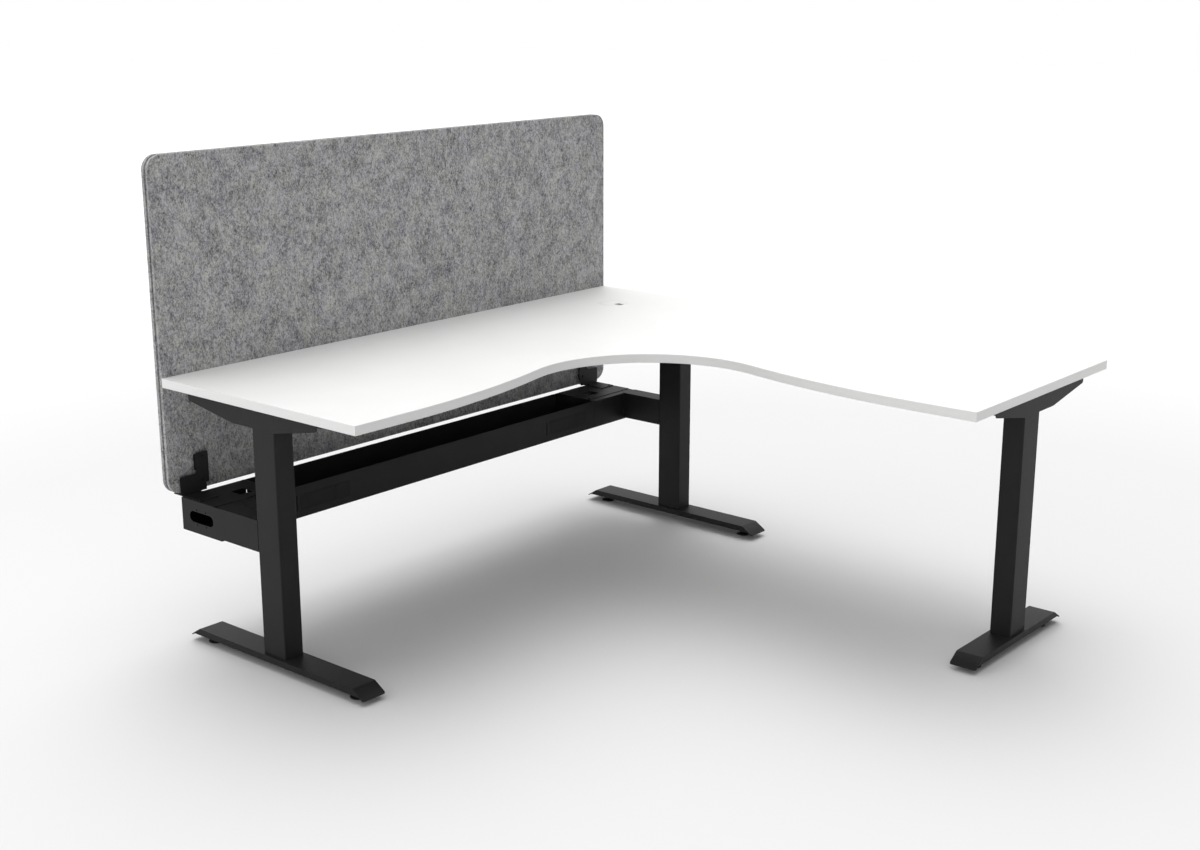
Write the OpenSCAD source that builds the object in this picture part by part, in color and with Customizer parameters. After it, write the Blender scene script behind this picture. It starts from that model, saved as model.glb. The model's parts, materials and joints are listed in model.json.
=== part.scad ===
// Screened corner workstation: an L-shaped worktop on three steel legs, with a felt privacy
// screen and a cable tray along its left wing.
// Millimetres, Z up. The origin is on the floor, in the middle of the whole outline.
// The left wing runs along X, the right wing along Y, and they meet at the back right corner.

/* [Worktop] */
// Length of each wing along its back edge
wing_l = 1800; // [1700:10:2000]
// Depth of each wing at its free end
wing_d = 750; // [720:5:800]
// Height of the worktop's upper face above the floor
top_z = 730; // [700:5:780]
// Thickness of the worktop
top_t = 25; // [22:1:36]
// Thickness of the plastic edge band
band_t = 2; // [1:0.5:3]
// Radius of the concave curve at the inner corner
inner_r = 334; // [300:2:400]
// How far that curve bites in behind the line of the straight front edge
inner_dip = 79; // [60:1:100]
// Straight length of the front edge at each free end
straight_l = 175; // [120:5:220]

/* [Cable grommet] */
// Distance of the grommet's centre from both back edges
grommet_in = 230; // [215:5:260]
// Outer diameter of the grommet's rim
rim_d = 96; // [92:1:110]
// Thickness of that rim, which lies flush in a rebate of the worktop
rim_t = 1.5; // [1:0.5:3]
// Diameter of the turning lid
lid_d = 79.6; // [70:0.2:80]
// Gap round the lid
lid_gap = 0.3; // [0.2:0.05:0.5]
// Thickness of the lid
lid_t = 4; // [3:0.5:6]
// Width of the ledge that the lid lies on
ledge_w = 2; // [1.5:0.5:3]
// Wall of the sleeve beside the lid
sleeve_wall = 2; // [1.5:0.5:3]
// Length of the sleeve below the worktop
sleeve_drop = 3; // [2:1:10]
// Width of the cable slot in the lid
slot_w = 24; // [16:1:30]
// Distance of the slot's blind end from the lid's centre
slot_from = 14; // [8:1:20]
// Corner radius of the slot's blind end
slot_r = 4; // [2:0.5:8]

/* [Screen] */
// Height of the felt screen
screen_h = 900; // [600:50:1000]
// Thickness of each felt panel
felt_t = 10; // [8:1:12]
// Thickness of the core between the panels
core_t = 7; // [5:1:9]
// How far the core stands back from the panels' edges
core_in = 12; // [6:1:20]
// Radius of the screen's corners
screen_r = 40; // [30:1:60]

/* [Screen brackets] */
// Thickness of the bracket's steel
bracket_t = 2.5; // [2:0.5:4]
// Width of the bracket's base plate
base_w = 60; // [52:1:70]
// Distance from the box's outer face to the base plate
base_in = 4.5; // [3:0.5:8]
// How far the base plate reaches forward of the tray's back face
base_reach = 75; // [62:1:90]
// Width of the upright's broad lower part
shoulder_w = 84; // [80:1:88]
// Height of the upright's broad lower part above the tray
shoulder_h = 53; // [40:1:60]
// Distance from the box's outer face to the tab
tab_in = 54.5; // [50:0.5:58]
// Width of the tab
tab_w = 39; // [36:1:44]
// Height of the tab's top above the tray
tab_h = 110; // [100:1:130]
// Height of the tab's lower end above the tray
tab_z = 22; // [16:1:30]
// Corner radius of the upright
bracket_r = 6; // [3:0.5:8]
// Radius where the shoulder meets the tab
bracket_fillet = 8; // [4:0.5:10]
// Thickness of the rubber pads under the screen
pad_t = 3; // [2:0.5:5]
// How far the rubber pads stand in from the edges round them
pad_in = 3; // [1:0.5:5]
// Diameter of the spacers between tab and screen
spacer_d = 18; // [14:1:20]
// Distance from the tab's ends to the spacers
spacer_in = 3; // [1:0.5:5]
// Depth of the screen screws in the core
screen_bite = 5; // [3:0.5:5]
// Distance of the base plate's screws from its edges
base_screw_in = 10; // [8:1:14]

/* [Cable tray] */
// Height of the tray's covers and the side arms above the floor
beam_z = 402; // [380:1:440]
// Height of the boxes at the tray's ends
box_h = 90; // [86:1:110]
// Width of the boxes, from front face to back face
box_w = 166; // [150:1:180]
// Length of each box
box_l = 210; // [200:1:240]
// Distance from the worktop's back edge to the tray's back face
tray_back = 12; // [10:0.5:16]
// Sheet thickness of tray, boxes and covers
sheet = 1.5; // [1.2:0.1:2]
// Length of tray inside each box
tray_lap = 30; // [25:1:40]
// Side clearance between tray and boxes
tray_fit = 0.25; // [0.1:0.05:0.4]
// Width of the box's front flange, which the cover leaves bare
front_lip = 26; // [22:1:30]
// Width of the ledges that carry the cover
cover_ledge = 12; // [10:1:16]
// Side of the square cable opening in each cover
drop_w = 42; // [30:1:50]
// Distance from the box's outer face to that opening's centre
drop_in = 136; // [130:1:150]
// Length of the oblong cable entry in each outer face
entry_l = 100; // [80:1:110]
// Height of the oblong cable entry
entry_h = 30; // [20:1:32]
// Spacing of the accessory holes along the tray's width
acc_y = 38; // [34:1:44]
// Spacing of the accessory holes in height
acc_z = 41; // [40:0.5:46]
// Diameter of the accessory holes
acc_d = 4.5; // [4:0.1:5]
// Width of the outlet blank
outlet_w = 128; // [100:1:130]
// Width of the data blank beside it
data_w = 53; // [40:1:60]
// Height of both blanks
blank_h = 42; // [36:1:46]
// Distance from the left box to the left pair of blanks
blank_left_in = 57; // [45:1:80]
// Distance from the right box to the right pair of blanks
blank_right_in = 43; // [40:1:80]
// Gap round the blanks in their opening
blank_gap = 0.4; // [0.2:0.1:0.6]
// Width of the lips that hold the blanks from behind
blank_lip = 3; // [2:0.5:4]
// Thickness of those lips
lip_t = 1; // [0.8:0.1:1.5]
// Width of the cable tie slots
tie_w = 3; // [2:0.5:4]
// Distance of a cable tie slot from the outlet blank
tie_in = 13; // [8:1:20]
// Height of the tie slot in the tray's back wall
tie_h = 54; // [30:1:60]
// Corner radius of the square cable openings
drop_r = 2; // [1:0.5:4]

/* [Legs] */
// Width of the columns across the leg
col_w = 60; // [56:1:64]
// Depth of the columns along the foot
col_d = 86; // [82:1:92]
// Wall of the columns
col_wall = 2.5; // [2:0.5:3]
// Corner radius of the columns
col_r = 3.5; // [3:0.5:6]
// Thickness of the plates welded into the columns
col_plate = 5; // [4:0.5:8]
// Distance from a free end of the worktop to the column's outer face
side_inset = 28; // [24:1:40]
// Distance from the right back edge to the corner column's outer face
corner_inset = 49; // [44:1:60]
// Distance from the back edge to the centre of the left and corner columns
leg_back = 372; // [350:1:400]
// Distance from the right back edge to the centre of the right column
right_leg_back = 384; // [370:1:410]

/* [Feet] */
// Length of the left and corner feet
foot_l = 694; // [640:2:720]
// Length of the right foot
right_foot_l = 500; // [460:2:560]
// Width of the feet
foot_w = 76; // [70:1:90]
// Height of the feet's upper face
foot_h = 40; // [38:1:46]
// Plate thickness of the feet
foot_t = 2.5; // [2:0.5:4]
// Height of the folded side flanges
foot_side = 18; // [14:1:22]
// Length of each sloping end flap, measured on the floor
flap_run = 40; // [30:1:50]
// Drop of each sloping end flap
flap_drop = 25; // [20:1:27]
// Corner radius of the flaps
flap_r = 8; // [4:1:14]

/* [Levelling glides] */
// Diameter of the glide's pad
glide_d = 42; // [36:1:48]
// Diameter of the flat top of the glide's pad
crown_d = 20; // [16:1:30]
// Height of the pad's straight rim
rim_glide = 4; // [2:0.5:5]
// Bevel under the pad's rim
glide_bevel = 1; // [0.5:0.5:2]
// Height of the glide's pad
glide_h = 8; // [6:0.5:9]
// Diameter of the threaded stem
stem_d = 10; // [8:1:12]
// Radial clearance of the stem in its boss
stem_fit = 0.05; // [0.03:0.01:0.1]
// Diameter of the boss that the stem screws into
boss_d = 17; // [16:1:20]
// How far a glide can be screwed in
glide_in = 5; // [4:0.5:5]
// Distance from the foot's end to the glide's centre
glide_end = 62; // [58:1:75]

/* [Top supports] */
// Reach of a support in front of its column's centre
front_reach = 204; // [190:1:220]
// Reach of a support behind its column's centre
rear_reach = 301; // [280:1:320]
// Height of a support over its column
support_h = 58; // [54:1:64]
// Height of a support at its tips
tip_h = 28; // [24:1:34]
// Length of the level underside behind the column's centre
level_rear = 123; // [110:1:140]
// Bevel at the lower corner of each tip
tip_cut = 4; // [2:1:12]
// Length of each tip that is open below and at its end
tip_open = 70; // [60:1:90]
// Distance from the tips to the screws into the worktop
wood_in = 22; // [16:1:30]
// Plate thickness of the supports
support_t = 3; // [2:0.5:3.5]
// Width of the supports' inward top flanges
flange_w = 15; // [13:1:17]

/* [Crossbars and rails] */
// Width of the tubes under the worktop
rail_w = 40; // [30:1:44]
// Height of those tubes
rail_h = 30; // [25:1:31]
// Wall of those tubes
rail_wall = 2; // [1.5:0.5:3]
// Gap between those tubes and the worktop
rail_low = 5; // [4:0.5:6]
// Thickness of their welded end plates
end_plate = 4; // [3:0.5:5]
// Distance of the front crossbar in front of the column's centre
bar_front = 85; // [75:1:95]
// Distance of the rear crossbar behind the column's centre
bar_rear = 215; // [205:1:225]
// Distance of the inner rail in front of the right column's centre
rail_inner = 86; // [75:1:95]
// Distance of the outer rail behind the right column's centre
rail_outer = 174; // [160:1:190]

/* [Side arms] */
// Height of the side arms
arm_h = 85; // [80:1:86]
// Wall of the side arms
arm_wall = 2.5; // [2:0.5:3]
// Diameter of the tool hole through the box into the arm
tool_d = 40; // [30:1:44]

/* [Fasteners] */
// Diameter of the frame bolts
bolt_d = 8; // [6:0.5:8]
// Diameter of the frame bolts' heads
bolt_head_d = 13; // [12:0.5:13]
// Height of the frame bolts' heads
bolt_head_h = 5; // [4:0.5:6]
// Diameter of the small screws
screw_d = 4; // [3:0.5:4.5]
// Diameter of the small screws' heads
screw_head_d = 8; // [7:0.5:9]
// Height of the small screws' heads
screw_head_h = 2.5; // [2:0.5:3]
// Radial clearance round bolts and screws in their holes
hole_fit = 0.25; // [0.15:0.05:0.4]
// Spacing of the column bolts across the leg
bolt_x = 34; // [32:1:36]
// Spacing of the column bolts along the foot
bolt_y = 58; // [54:1:60]
// Length of screw in the worktop
wood_bite = 16; // [12:1:18]
// Length of a bolt beyond the last plate
bolt_out = 3; // [1:0.5:6]
// Length of a small screw beyond the last sheet
screw_out = 2; // [1:0.5:4]
// Free depth beyond a screw's tip in a blind hole
tip_gap = 1; // [0.5:0.5:2]
// Edge distance round the bolts and heads
edge_gap = 1; // [0.5:0.5:2]

/* [Hidden] */
$fn = 48;

// Colours
WHITE = "white";
BLACK = [0.13, 0.13, 0.14];
FELT = [0.55, 0.55, 0.55];
DARK = [0.05, 0.05, 0.05];
STEEL = [0.4, 0.4, 0.42];

// Cuts run past the faces they open by this much
past = 1;
// Fine division for the large curves
fine = 360;

// Overall places
screen_t = 2 * felt_t + core_t;
left_x = -wing_l / 2;
right_x = wing_l / 2;
back_y = (wing_l - screen_t) / 2;
front_y = back_y - wing_l;
under_z = top_z - top_t;

// Legs: 0 is the left one, 1 the corner one, 2 the right one, which is turned
leg_x = [left_x + side_inset + col_w / 2, right_x - corner_inset - col_w / 2, right_x - right_leg_back];
leg_y = [back_y - leg_back, back_y - leg_back, front_y + side_inset + col_w / 2];
leg_turn = [0, 0, -90];
foot_len = [foot_l, foot_l, right_foot_l];
col_top = under_z - support_h;

// Cable tray
box_outer = [leg_x[0] - col_w / 2, leg_x[1] + col_w / 2];
box_inner = [box_outer[0] + box_l, box_outer[1] - box_l];
box_back = back_y - tray_back;
box_front = box_back - box_w;
box_z = beam_z - box_h;
box_top = beam_z - sheet;
arm_z = beam_z - arm_h;
arm_back = box_front;
arm_front = leg_y[0] + col_d / 2;
tray_wide = box_w - 2 * (sheet + tray_fit);
tray_z = box_z + sheet;
tray_x = [box_inner[0] + tray_fit, box_inner[1] - tray_fit];
tray_mid_y = (box_back + box_front) / 2;
blank_x = [box_inner[0] + blank_left_in, box_inner[1] - blank_right_in - outlet_w - data_w];
blank_z = box_z + (box_h - blank_h) / 2 - sheet;

// Screen
base_top = beam_z + bracket_t;
screen_z = base_top + pad_t;
tab_mid = tab_in + tab_w / 2 + bracket_t / 2;
screen_screw_z = [beam_z + tab_z + spacer_d / 2 + spacer_in, beam_z + tab_h - spacer_d / 2 - spacer_in];
spacer_l = tray_back - bracket_t;

// Worktop curves, in distances from the two back edges
curve_c = wing_d - inner_dip + inner_r;
straight_u = wing_l - straight_l;
square_sum = pow(straight_u - curve_c, 2) + pow(curve_c - wing_d, 2) - pow(inner_r, 2);
outer_r = round(50 * square_sum / inner_dip) / 100;
// Where the concave and the convex curve meet a short chord takes over, turned in by this angle
chord_turn = 0.6;
meet_angle = atan2(wing_d - outer_r - curve_c, straight_u - curve_c);
chord_angle = meet_angle + 90 - chord_turn;
function meet(e) = (inner_r + e) * [cos(meet_angle), sin(meet_angle)] + [curve_c, curve_c];

// Grommet
grommet_x = right_x - grommet_in;
grommet_y = back_y - grommet_in;
seat_r = lid_d / 2 + lid_gap;
sleeve_r = seat_r + sleeve_wall;
seat_z = top_z - lid_t;

// Feet and glides
flap_slope = flap_drop / flap_run;
flap_angle = atan(flap_slope);
boss_z = glide_h + glide_in + tip_gap;
stem_top = foot_h - foot_t - glide_in - tip_gap / 2;

// Fasteners and rails
hole_d = bolt_d + 2 * hole_fit;
screw_hole = screw_d + 2 * hole_fit;
bolt_run = (rail_w + screw_head_d) / 2 + edge_gap;
plate_w = 2 * (bolt_run + screw_head_d / 2 + edge_gap);
rail_z = under_z - rail_low - rail_h;
bar_y = [leg_y[0] - bar_front, leg_y[0] + bar_rear];
rail_x = [leg_x[2] - rail_inner, leg_x[2] + rail_outer];
bar_from = leg_x[0] + col_w / 2;
bar_to = leg_x[1] - col_w / 2;
rail_from = leg_y[2] + col_w / 2;
rail_to = bar_y[0] - rail_w / 2;
arm_bolt_x = col_w / 2 - arm_wall - bolt_head_d / 2 - edge_gap;
arm_bolt_z = arm_h / 2 - arm_wall - bolt_head_d / 2 - edge_gap;
box_bolt_z = [arm_z + arm_h / 2 - arm_bolt_z, arm_z + arm_h / 2 + arm_bolt_z];
wood_y = [wood_in - front_reach, rear_reach - wood_in];
wood_x = (col_w - flange_w) / 2;

// Plain shapes

module round_rect(w, d, r) {
    square([w - 2 * r, d], center = true);
    square([w, d - 2 * r], center = true);
    for (i = [-1, 1], j = [-1, 1]) translate([i * (w / 2 - r), j * (d / 2 - r)]) circle(r);
}

module bar(from, to) {
    translate(from) cube(to - from);
}

module at_leg(i) {
    translate([leg_x[i], leg_y[i], 0]) rotate(leg_turn[i]) children();
}

// Places a shape drawn for the left box, with its outer face at x = 0, at the left or right one
module at_box(side) {
    translate([box_outer[side], 0, 0]) mirror([side, 0, 0]) children();
}

module along_y(p, d, h) {
    translate(p) rotate([-90, 0, 0]) cylinder(d = d, h = h);
}

// Cutters for a screw's or a bolt's hole through a level sheet from z upwards
module sheet_hole(z, t) {
    translate([0, 0, z - past]) cylinder(d = screw_hole, h = t + 2 * past);
}

module bolt_hole(z, t) {
    translate([0, 0, z - past]) cylinder(d = hole_d, h = t + 2 * past);
}

// Worktop

// One wing in distances from the two back edges, t thick, with its outline drawn in by e
module wing_slab(e, t) {
    m = meet(e);
    in_u = inner_r * sin(chord_turn);
    out_u = outer_r * sin(chord_turn);
    chord = [cos(chord_angle), sin(chord_angle)];
    chord_in = m - 3 * in_u * chord;
    chord_out = m + (straight_u - m[0]) / chord[0] * chord;
    linear_extrude(t) difference() {
        translate([e, e]) square([m[0] - in_u - e, m[0] - in_u - e]);
        translate([curve_c, curve_c]) circle(inner_r + e, $fn = fine);
    }
    intersection() {
        linear_extrude(t) polygon([chord_in, chord_out, [straight_u, e], [chord_in[0], e]]);
        union() {
            translate([straight_u, wing_d - outer_r, 0]) cylinder(r = outer_r - e, h = t, $fn = 4 * fine);
            cube([m[0] + out_u, wing_l, t]);
        }
    }
    linear_extrude(t) translate([straight_u, e]) square([straight_l - e, wing_d - 2 * e]);
}

module top_slab(e, z, t) {
    translate([right_x, back_y, z]) rotate(180) {
        wing_slab(e, t);
        mirror([1, -1, 0]) wing_slab(e, t);
    }
}

module worktop() {
    color(WHITE) difference() {
        top_slab(band_t, under_z, top_t);
        translate([grommet_x, grommet_y, under_z - past])
            cylinder(r = sleeve_r + hole_fit, h = top_t + 2 * past, $fn = 96);
        translate([grommet_x, grommet_y, top_z - rim_t])
            cylinder(r = rim_d / 2 + hole_fit, h = rim_t + past, $fn = 96);
        for (i = [0, 1, 2]) at_leg(i) wood_places()
            translate([0, 0, under_z - past]) cylinder(d = screw_hole, h = wood_bite + past + tip_gap);
    }
}

module edge_band() {
    color(WHITE) difference() {
        top_slab(0, under_z, top_t);
        top_slab(band_t, under_z - past, top_t + 2 * past);
    }
}

module wood_places() {
    for (i = [-1, 1], y = wood_y) translate([i * wood_x, y, 0]) children();
}

// Grommet

module grommet_sleeve() {
    color(WHITE) translate([grommet_x, grommet_y, 0]) rotate_extrude($fn = 96) polygon([
        [seat_r - ledge_w, under_z - sleeve_drop],
        [sleeve_r, under_z - sleeve_drop],
        [sleeve_r, top_z - rim_t],
        [rim_d / 2, top_z - rim_t],
        [rim_d / 2, top_z],
        [seat_r, top_z],
        [seat_r, seat_z],
        [seat_r - ledge_w, seat_z]
    ]);
}

module grommet_lid() {
    color(WHITE) translate([grommet_x, grommet_y, seat_z]) linear_extrude(lid_t) difference() {
        circle(d = lid_d, $fn = 96);
        translate([0, -slot_from - lid_d / 2]) round_rect(slot_w, lid_d, slot_r);
    }
}

// Screen

module screen_sheet(y, t, inset) {
    translate([0, y + t, screen_z + screen_h / 2]) rotate([90, 0, 0])
        linear_extrude(t) round_rect(wing_l - 2 * inset, screen_h - 2 * inset, screen_r - inset / 2);
}

module screen_screw_holes(from, to) {
    for (side = [0, 1]) at_box(side) for (z = screen_screw_z)
        along_y([tab_mid, back_y + from, z], screw_hole, to - from);
}

module screen_front_panel() {
    color(FELT) difference() {
        screen_sheet(back_y, felt_t, 0);
        screen_screw_holes(-past, felt_t + past);
    }
}

module screen_rear_panel() {
    color(FELT) screen_sheet(back_y + felt_t + core_t, felt_t, 0);
}

module screen_core() {
    color(DARK) difference() {
        screen_sheet(back_y + felt_t, core_t, core_in);
        screen_screw_holes(felt_t - past, felt_t + screen_bite + tip_gap);
    }
}

// Screen brackets

// The upright, drawn in X and height above the tray, with the box's outer face at x = 0
module upright_plan() {
    translate([shoulder_w / 2, shoulder_h / 2]) round_rect(shoulder_w, shoulder_h, bracket_r);
    translate([0, bracket_t]) square([shoulder_w, shoulder_h / 2]);
    translate([tab_in + tab_w / 2, (tab_h + tab_z) / 2]) round_rect(tab_w, tab_h - tab_z, bracket_r);
    translate([tab_in, tab_z + bracket_r]) square([bracket_r, shoulder_h - tab_z]);
    difference() {
        translate([tab_in - bracket_fillet, shoulder_h - past]) square(bracket_fillet + past);
        translate([tab_in - bracket_fillet, shoulder_h + bracket_fillet]) circle(bracket_fillet);
    }
}

module screen_bracket(side) {
    color(BLACK) at_box(side) difference() {
        union() {
            translate([0, box_back + bracket_t, beam_z]) rotate([90, 0, 0]) linear_extrude(bracket_t)
                intersection() {
                    upright_plan();
                    translate([0, bracket_t]) square([tab_in + tab_w, tab_h]);
                }
            bar([base_in, box_back - base_reach, beam_z], [base_in + base_w, back_y + screen_t, base_top]);
            bar([tab_in, box_back, beam_z + shoulder_h + bracket_fillet],
                [tab_in + bracket_t, back_y, beam_z + tab_h - bracket_r]);
        }
        for (z = screen_screw_z) along_y([tab_mid, box_back - past, z], screw_hole, bracket_t + 2 * past);
        base_screw_places() sheet_hole(beam_z, bracket_t);
    }
}

module screen_bracket_left() { screen_bracket(0); }
module screen_bracket_right() { screen_bracket(1); }

// Screws through the bracket's base plate, the cover and the box's ledge
module base_screw_places() {
    translate([base_in + base_screw_in, box_back - base_reach + base_screw_in, 0]) children();
    translate([base_in + base_w - base_screw_in, box_back - sheet - cover_ledge / 2, 0]) children();
}

module screen_pads() {
    color(DARK) for (side = [0, 1]) at_box(side)
        bar([base_in + pad_in, back_y + pad_in, base_top],
            [base_in + base_w - pad_in, back_y + screen_t - pad_in, screen_z]);
}

module screen_spacers() {
    color(DARK) for (side = [0, 1]) at_box(side) for (z = screen_screw_z) difference() {
        along_y([tab_mid, box_back + bracket_t, z], spacer_d, spacer_l);
        along_y([tab_mid, box_back + bracket_t - past, z], screw_hole, spacer_l + 2 * past);
    }
}

// Cable tray

module blank_holes(side) {
    translate([blank_x[side], -past, blank_z]) cube([outlet_w + data_w, sheet + 2 * past, blank_h]);
    translate([blank_x[side] - tie_in, -past, blank_z]) cube([tie_w, sheet + 2 * past, blank_h]);
}

module tray_screw_places(side) {
    for (y = [tray_mid_y - box_w / 4, tray_mid_y + box_w / 4])
        translate([box_l - tray_lap / 2, y, 0]) children();
}

// Between the boxes the tray's faces lie flush with theirs; its ends are set in to slide inside the boxes
module cable_tray() {
    lap_x = [box_inner[0] - tray_lap, box_inner[1] + tray_lap];
    lap_y = [tray_mid_y - tray_wide / 2, tray_mid_y + tray_wide / 2];
    color(BLACK) difference() {
        union() {
            bar([tray_x[0], box_front, box_z], [tray_x[1], box_back, beam_z]);
            bar([lap_x[0], lap_y[0], tray_z], [lap_x[1], lap_y[1], box_top - sheet]);
        }
        bar([tray_x[0] + sheet, box_front + sheet, box_z + sheet],
            [tray_x[1] - sheet, box_back - sheet, beam_z + past]);
        bar([lap_x[0] - past, lap_y[0] + sheet, tray_z + sheet],
            [lap_x[1] + past, lap_y[1] - sheet, beam_z + past]);
        for (side = [0, 1]) translate([0, box_front, 0]) blank_holes(side);
        bar([tray_x[0] + 2 * sheet, box_back - sheet - past, box_z + (box_h - tie_h) / 2],
            [tray_x[0] + 2 * sheet + tie_w, box_back + past, box_z + (box_h + tie_h) / 2]);
        for (side = [0, 1]) at_box(side) tray_screw_places(side) sheet_hole(tray_z, sheet);
    }
}

// A blank lies flush in its opening and is held by a lip behind the tray's wall
module blank(side, from, w, lip0, lip1) {
    x = blank_x[side] + from;
    color(BLACK) union() {
        bar([x + blank_gap, box_front, blank_z + blank_gap],
            [x + w - blank_gap, box_front + sheet, blank_z + blank_h - blank_gap]);
        bar([x + blank_gap - lip0, box_front + sheet, blank_z - blank_lip],
            [x + w - blank_gap + lip1, box_front + sheet + lip_t, blank_z + blank_h + blank_lip]);
    }
}

module outlet_blank(side) { blank(side, 0, outlet_w, blank_lip, 0); }
module data_blank(side) { blank(side, outlet_w, data_w, 0, blank_lip); }
module outlet_blank_left() { outlet_blank(0); }
module data_blank_left() { data_blank(0); }
module outlet_blank_right() { outlet_blank(1); }
module data_blank_right() { data_blank(1); }

module entry_plan() {
    square([entry_l - entry_h, entry_h], center = true);
    for (i = [-1, 1]) translate([i * (entry_l - entry_h) / 2, 0]) circle(d = entry_h);
}

module cover_screw_places() {
    for (y = [box_back - sheet - cover_ledge / 2, box_front + front_lip + cover_ledge / 2])
        translate([box_l - base_screw_in, y, 0]) children();
}

// Folded box at the end of the tray: open inwards, with ledges on top for the cover
module tray_end(side) {
    back_in = box_back - sheet;
    front_in = box_front + sheet;
    mid_z = (box_z + beam_z) / 2;
    color(BLACK) at_box(side) difference() {
        bar([0, box_front, box_z], [box_l, box_back, box_top]);
        bar([sheet, front_in, box_z + sheet], [box_l + past, back_in, box_top - sheet]);
        bar([sheet + cover_ledge, box_front + front_lip + cover_ledge, box_top - sheet - past],
            [box_l + past, back_in - cover_ledge, box_top + past]);
        translate([-past, tray_mid_y, mid_z]) rotate([90, 0, 90])
            linear_extrude(sheet + 2 * past) entry_plan();
        for (i = [-1, 1], j = [-1, 1]) translate([-past, tray_mid_y + i * acc_y / 2, mid_z + j * acc_z / 2])
            rotate([0, 90, 0]) cylinder(d = acc_d, h = sheet + 2 * past);
        arm_bolt_places() along_y([0, box_front - past, 0], hole_d, sheet + 2 * past);
        along_y([col_w / 2, box_front - past, arm_z + arm_h / 2], tool_d, sheet + 2 * past);
        tray_screw_places(side) sheet_hole(box_z, sheet);
        cover_screw_places() sheet_hole(box_top - sheet, sheet);
        base_screw_places() sheet_hole(box_top - sheet, sheet);
    }
}

module tray_end_left() { tray_end(0); }
module tray_end_right() { tray_end(1); }

module tray_cover(side) {
    color(BLACK) at_box(side) difference() {
        bar([0, box_front + front_lip, box_top], [box_l, box_back, beam_z]);
        translate([drop_in, tray_mid_y, box_top - past])
            linear_extrude(sheet + 2 * past) round_rect(drop_w, drop_w, drop_r);
        cover_screw_places() sheet_hole(box_top, sheet);
        base_screw_places() sheet_hole(box_top, sheet);
    }
}

module tray_cover_left() { tray_cover(0); }
module tray_cover_right() { tray_cover(1); }

// Side arms

// Bolt centres at the arm's ends, with the box's outer face at x = 0
module arm_bolt_places() {
    for (i = [-1, 1], z = box_bolt_z) translate([col_w / 2 + i * arm_bolt_x, 0, z]) children();
}

module side_arm(side) {
    color(BLACK) at_box(side) difference() {
        bar([0, arm_front, arm_z], [col_w, arm_back, beam_z]);
        bar([arm_wall, arm_front + end_plate, arm_z + arm_wall],
            [col_w - arm_wall, arm_back - end_plate, beam_z - arm_wall]);
        arm_bolt_places() along_y([0, arm_front - past, 0], hole_d, end_plate + 2 * past);
        arm_bolt_places() along_y([0, arm_back - end_plate - past, 0], hole_d, end_plate + 2 * past);
        along_y([col_w / 2, arm_back - end_plate - past, arm_z + arm_h / 2], tool_d, end_plate + 2 * past);
    }
}

module side_arm_left() { side_arm(0); }
module side_arm_corner() { side_arm(1); }

// Columns

module column_bolt_places() {
    for (i = [-1, 1], j = [-1, 1]) translate([i * bolt_x / 2, j * bolt_y / 2, 0]) children();
}

// A column is a tube with a plate welded into each end
module column(i, with_arm) {
    inner_h = col_top - foot_h - 2 * col_plate;
    color(BLACK) at_leg(i) difference() {
        translate([0, 0, foot_h]) linear_extrude(col_top - foot_h) round_rect(col_w, col_d, col_r);
        translate([0, 0, foot_h + col_plate]) linear_extrude(inner_h)
            round_rect(col_w - 2 * col_wall, col_d - 2 * col_wall, col_r - col_wall / 2);
        column_bolt_places() bolt_hole(foot_h, col_plate);
        column_bolt_places() bolt_hole(col_top - col_plate, col_plate);
        if (with_arm) translate([-col_w / 2, 0, 0]) arm_bolt_places()
            along_y([0, col_d / 2 - col_wall - past, 0], hole_d, col_wall + 2 * past);
    }
}

module column_left() { column(0, true); }
module column_corner() { column(1, true); }
module column_right() { column(2, false); }

// Feet

// Side view of the folded plate: a level top and a sloping flap at each end
module foot_side_view(half) {
    k = half - flap_run;
    inner_k = k - foot_t * tan(flap_angle / 2);
    z = foot_h - flap_drop;
    inner_half = inner_k + (flap_drop - foot_t + past) / flap_slope;
    difference() {
        polygon([[-half, z], [-k, foot_h], [k, foot_h], [half, z]]);
        polygon([[-inner_half, z - past], [-inner_k, foot_h - foot_t], [inner_k, foot_h - foot_t],
            [inner_half, z - past]]);
    }
}

module glide_places(i) {
    for (j = [-1, 1]) translate([0, j * (foot_len[i] / 2 - glide_end), 0]) children();
}

module foot(i) {
    half = foot_len[i] / 2;
    low = foot_h - foot_side;
    low_y = half - flap_run + foot_side / flap_slope;
    color(BLACK) at_leg(i) difference() {
        union() {
            intersection() {
                translate([foot_w / 2, 0, 0]) rotate([90, 0, -90])
                    linear_extrude(foot_w) foot_side_view(half);
                linear_extrude(foot_h) round_rect(foot_w, foot_len[i], flap_r);
            }
            for (x = [foot_t - foot_w / 2, foot_w / 2]) translate([x, 0, 0]) rotate([90, 0, -90])
                linear_extrude(foot_t) polygon([[-low_y, low], [flap_run - half, foot_h],
                    [half - flap_run, foot_h], [low_y, low]]);
            glide_places(i) translate([0, 0, boss_z]) cylinder(d = boss_d, h = foot_h - foot_t / 2 - boss_z);
        }
        glide_places(i) translate([0, 0, boss_z - past])
            cylinder(r = stem_d / 2 + stem_fit, h = foot_h - foot_t - boss_z + past);
        column_bolt_places() bolt_hole(foot_h - foot_t, foot_t);
    }
}

module foot_left() { foot(0); }
module foot_corner() { foot(1); }
module foot_right() { foot(2); }

// Levelling glides

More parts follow.
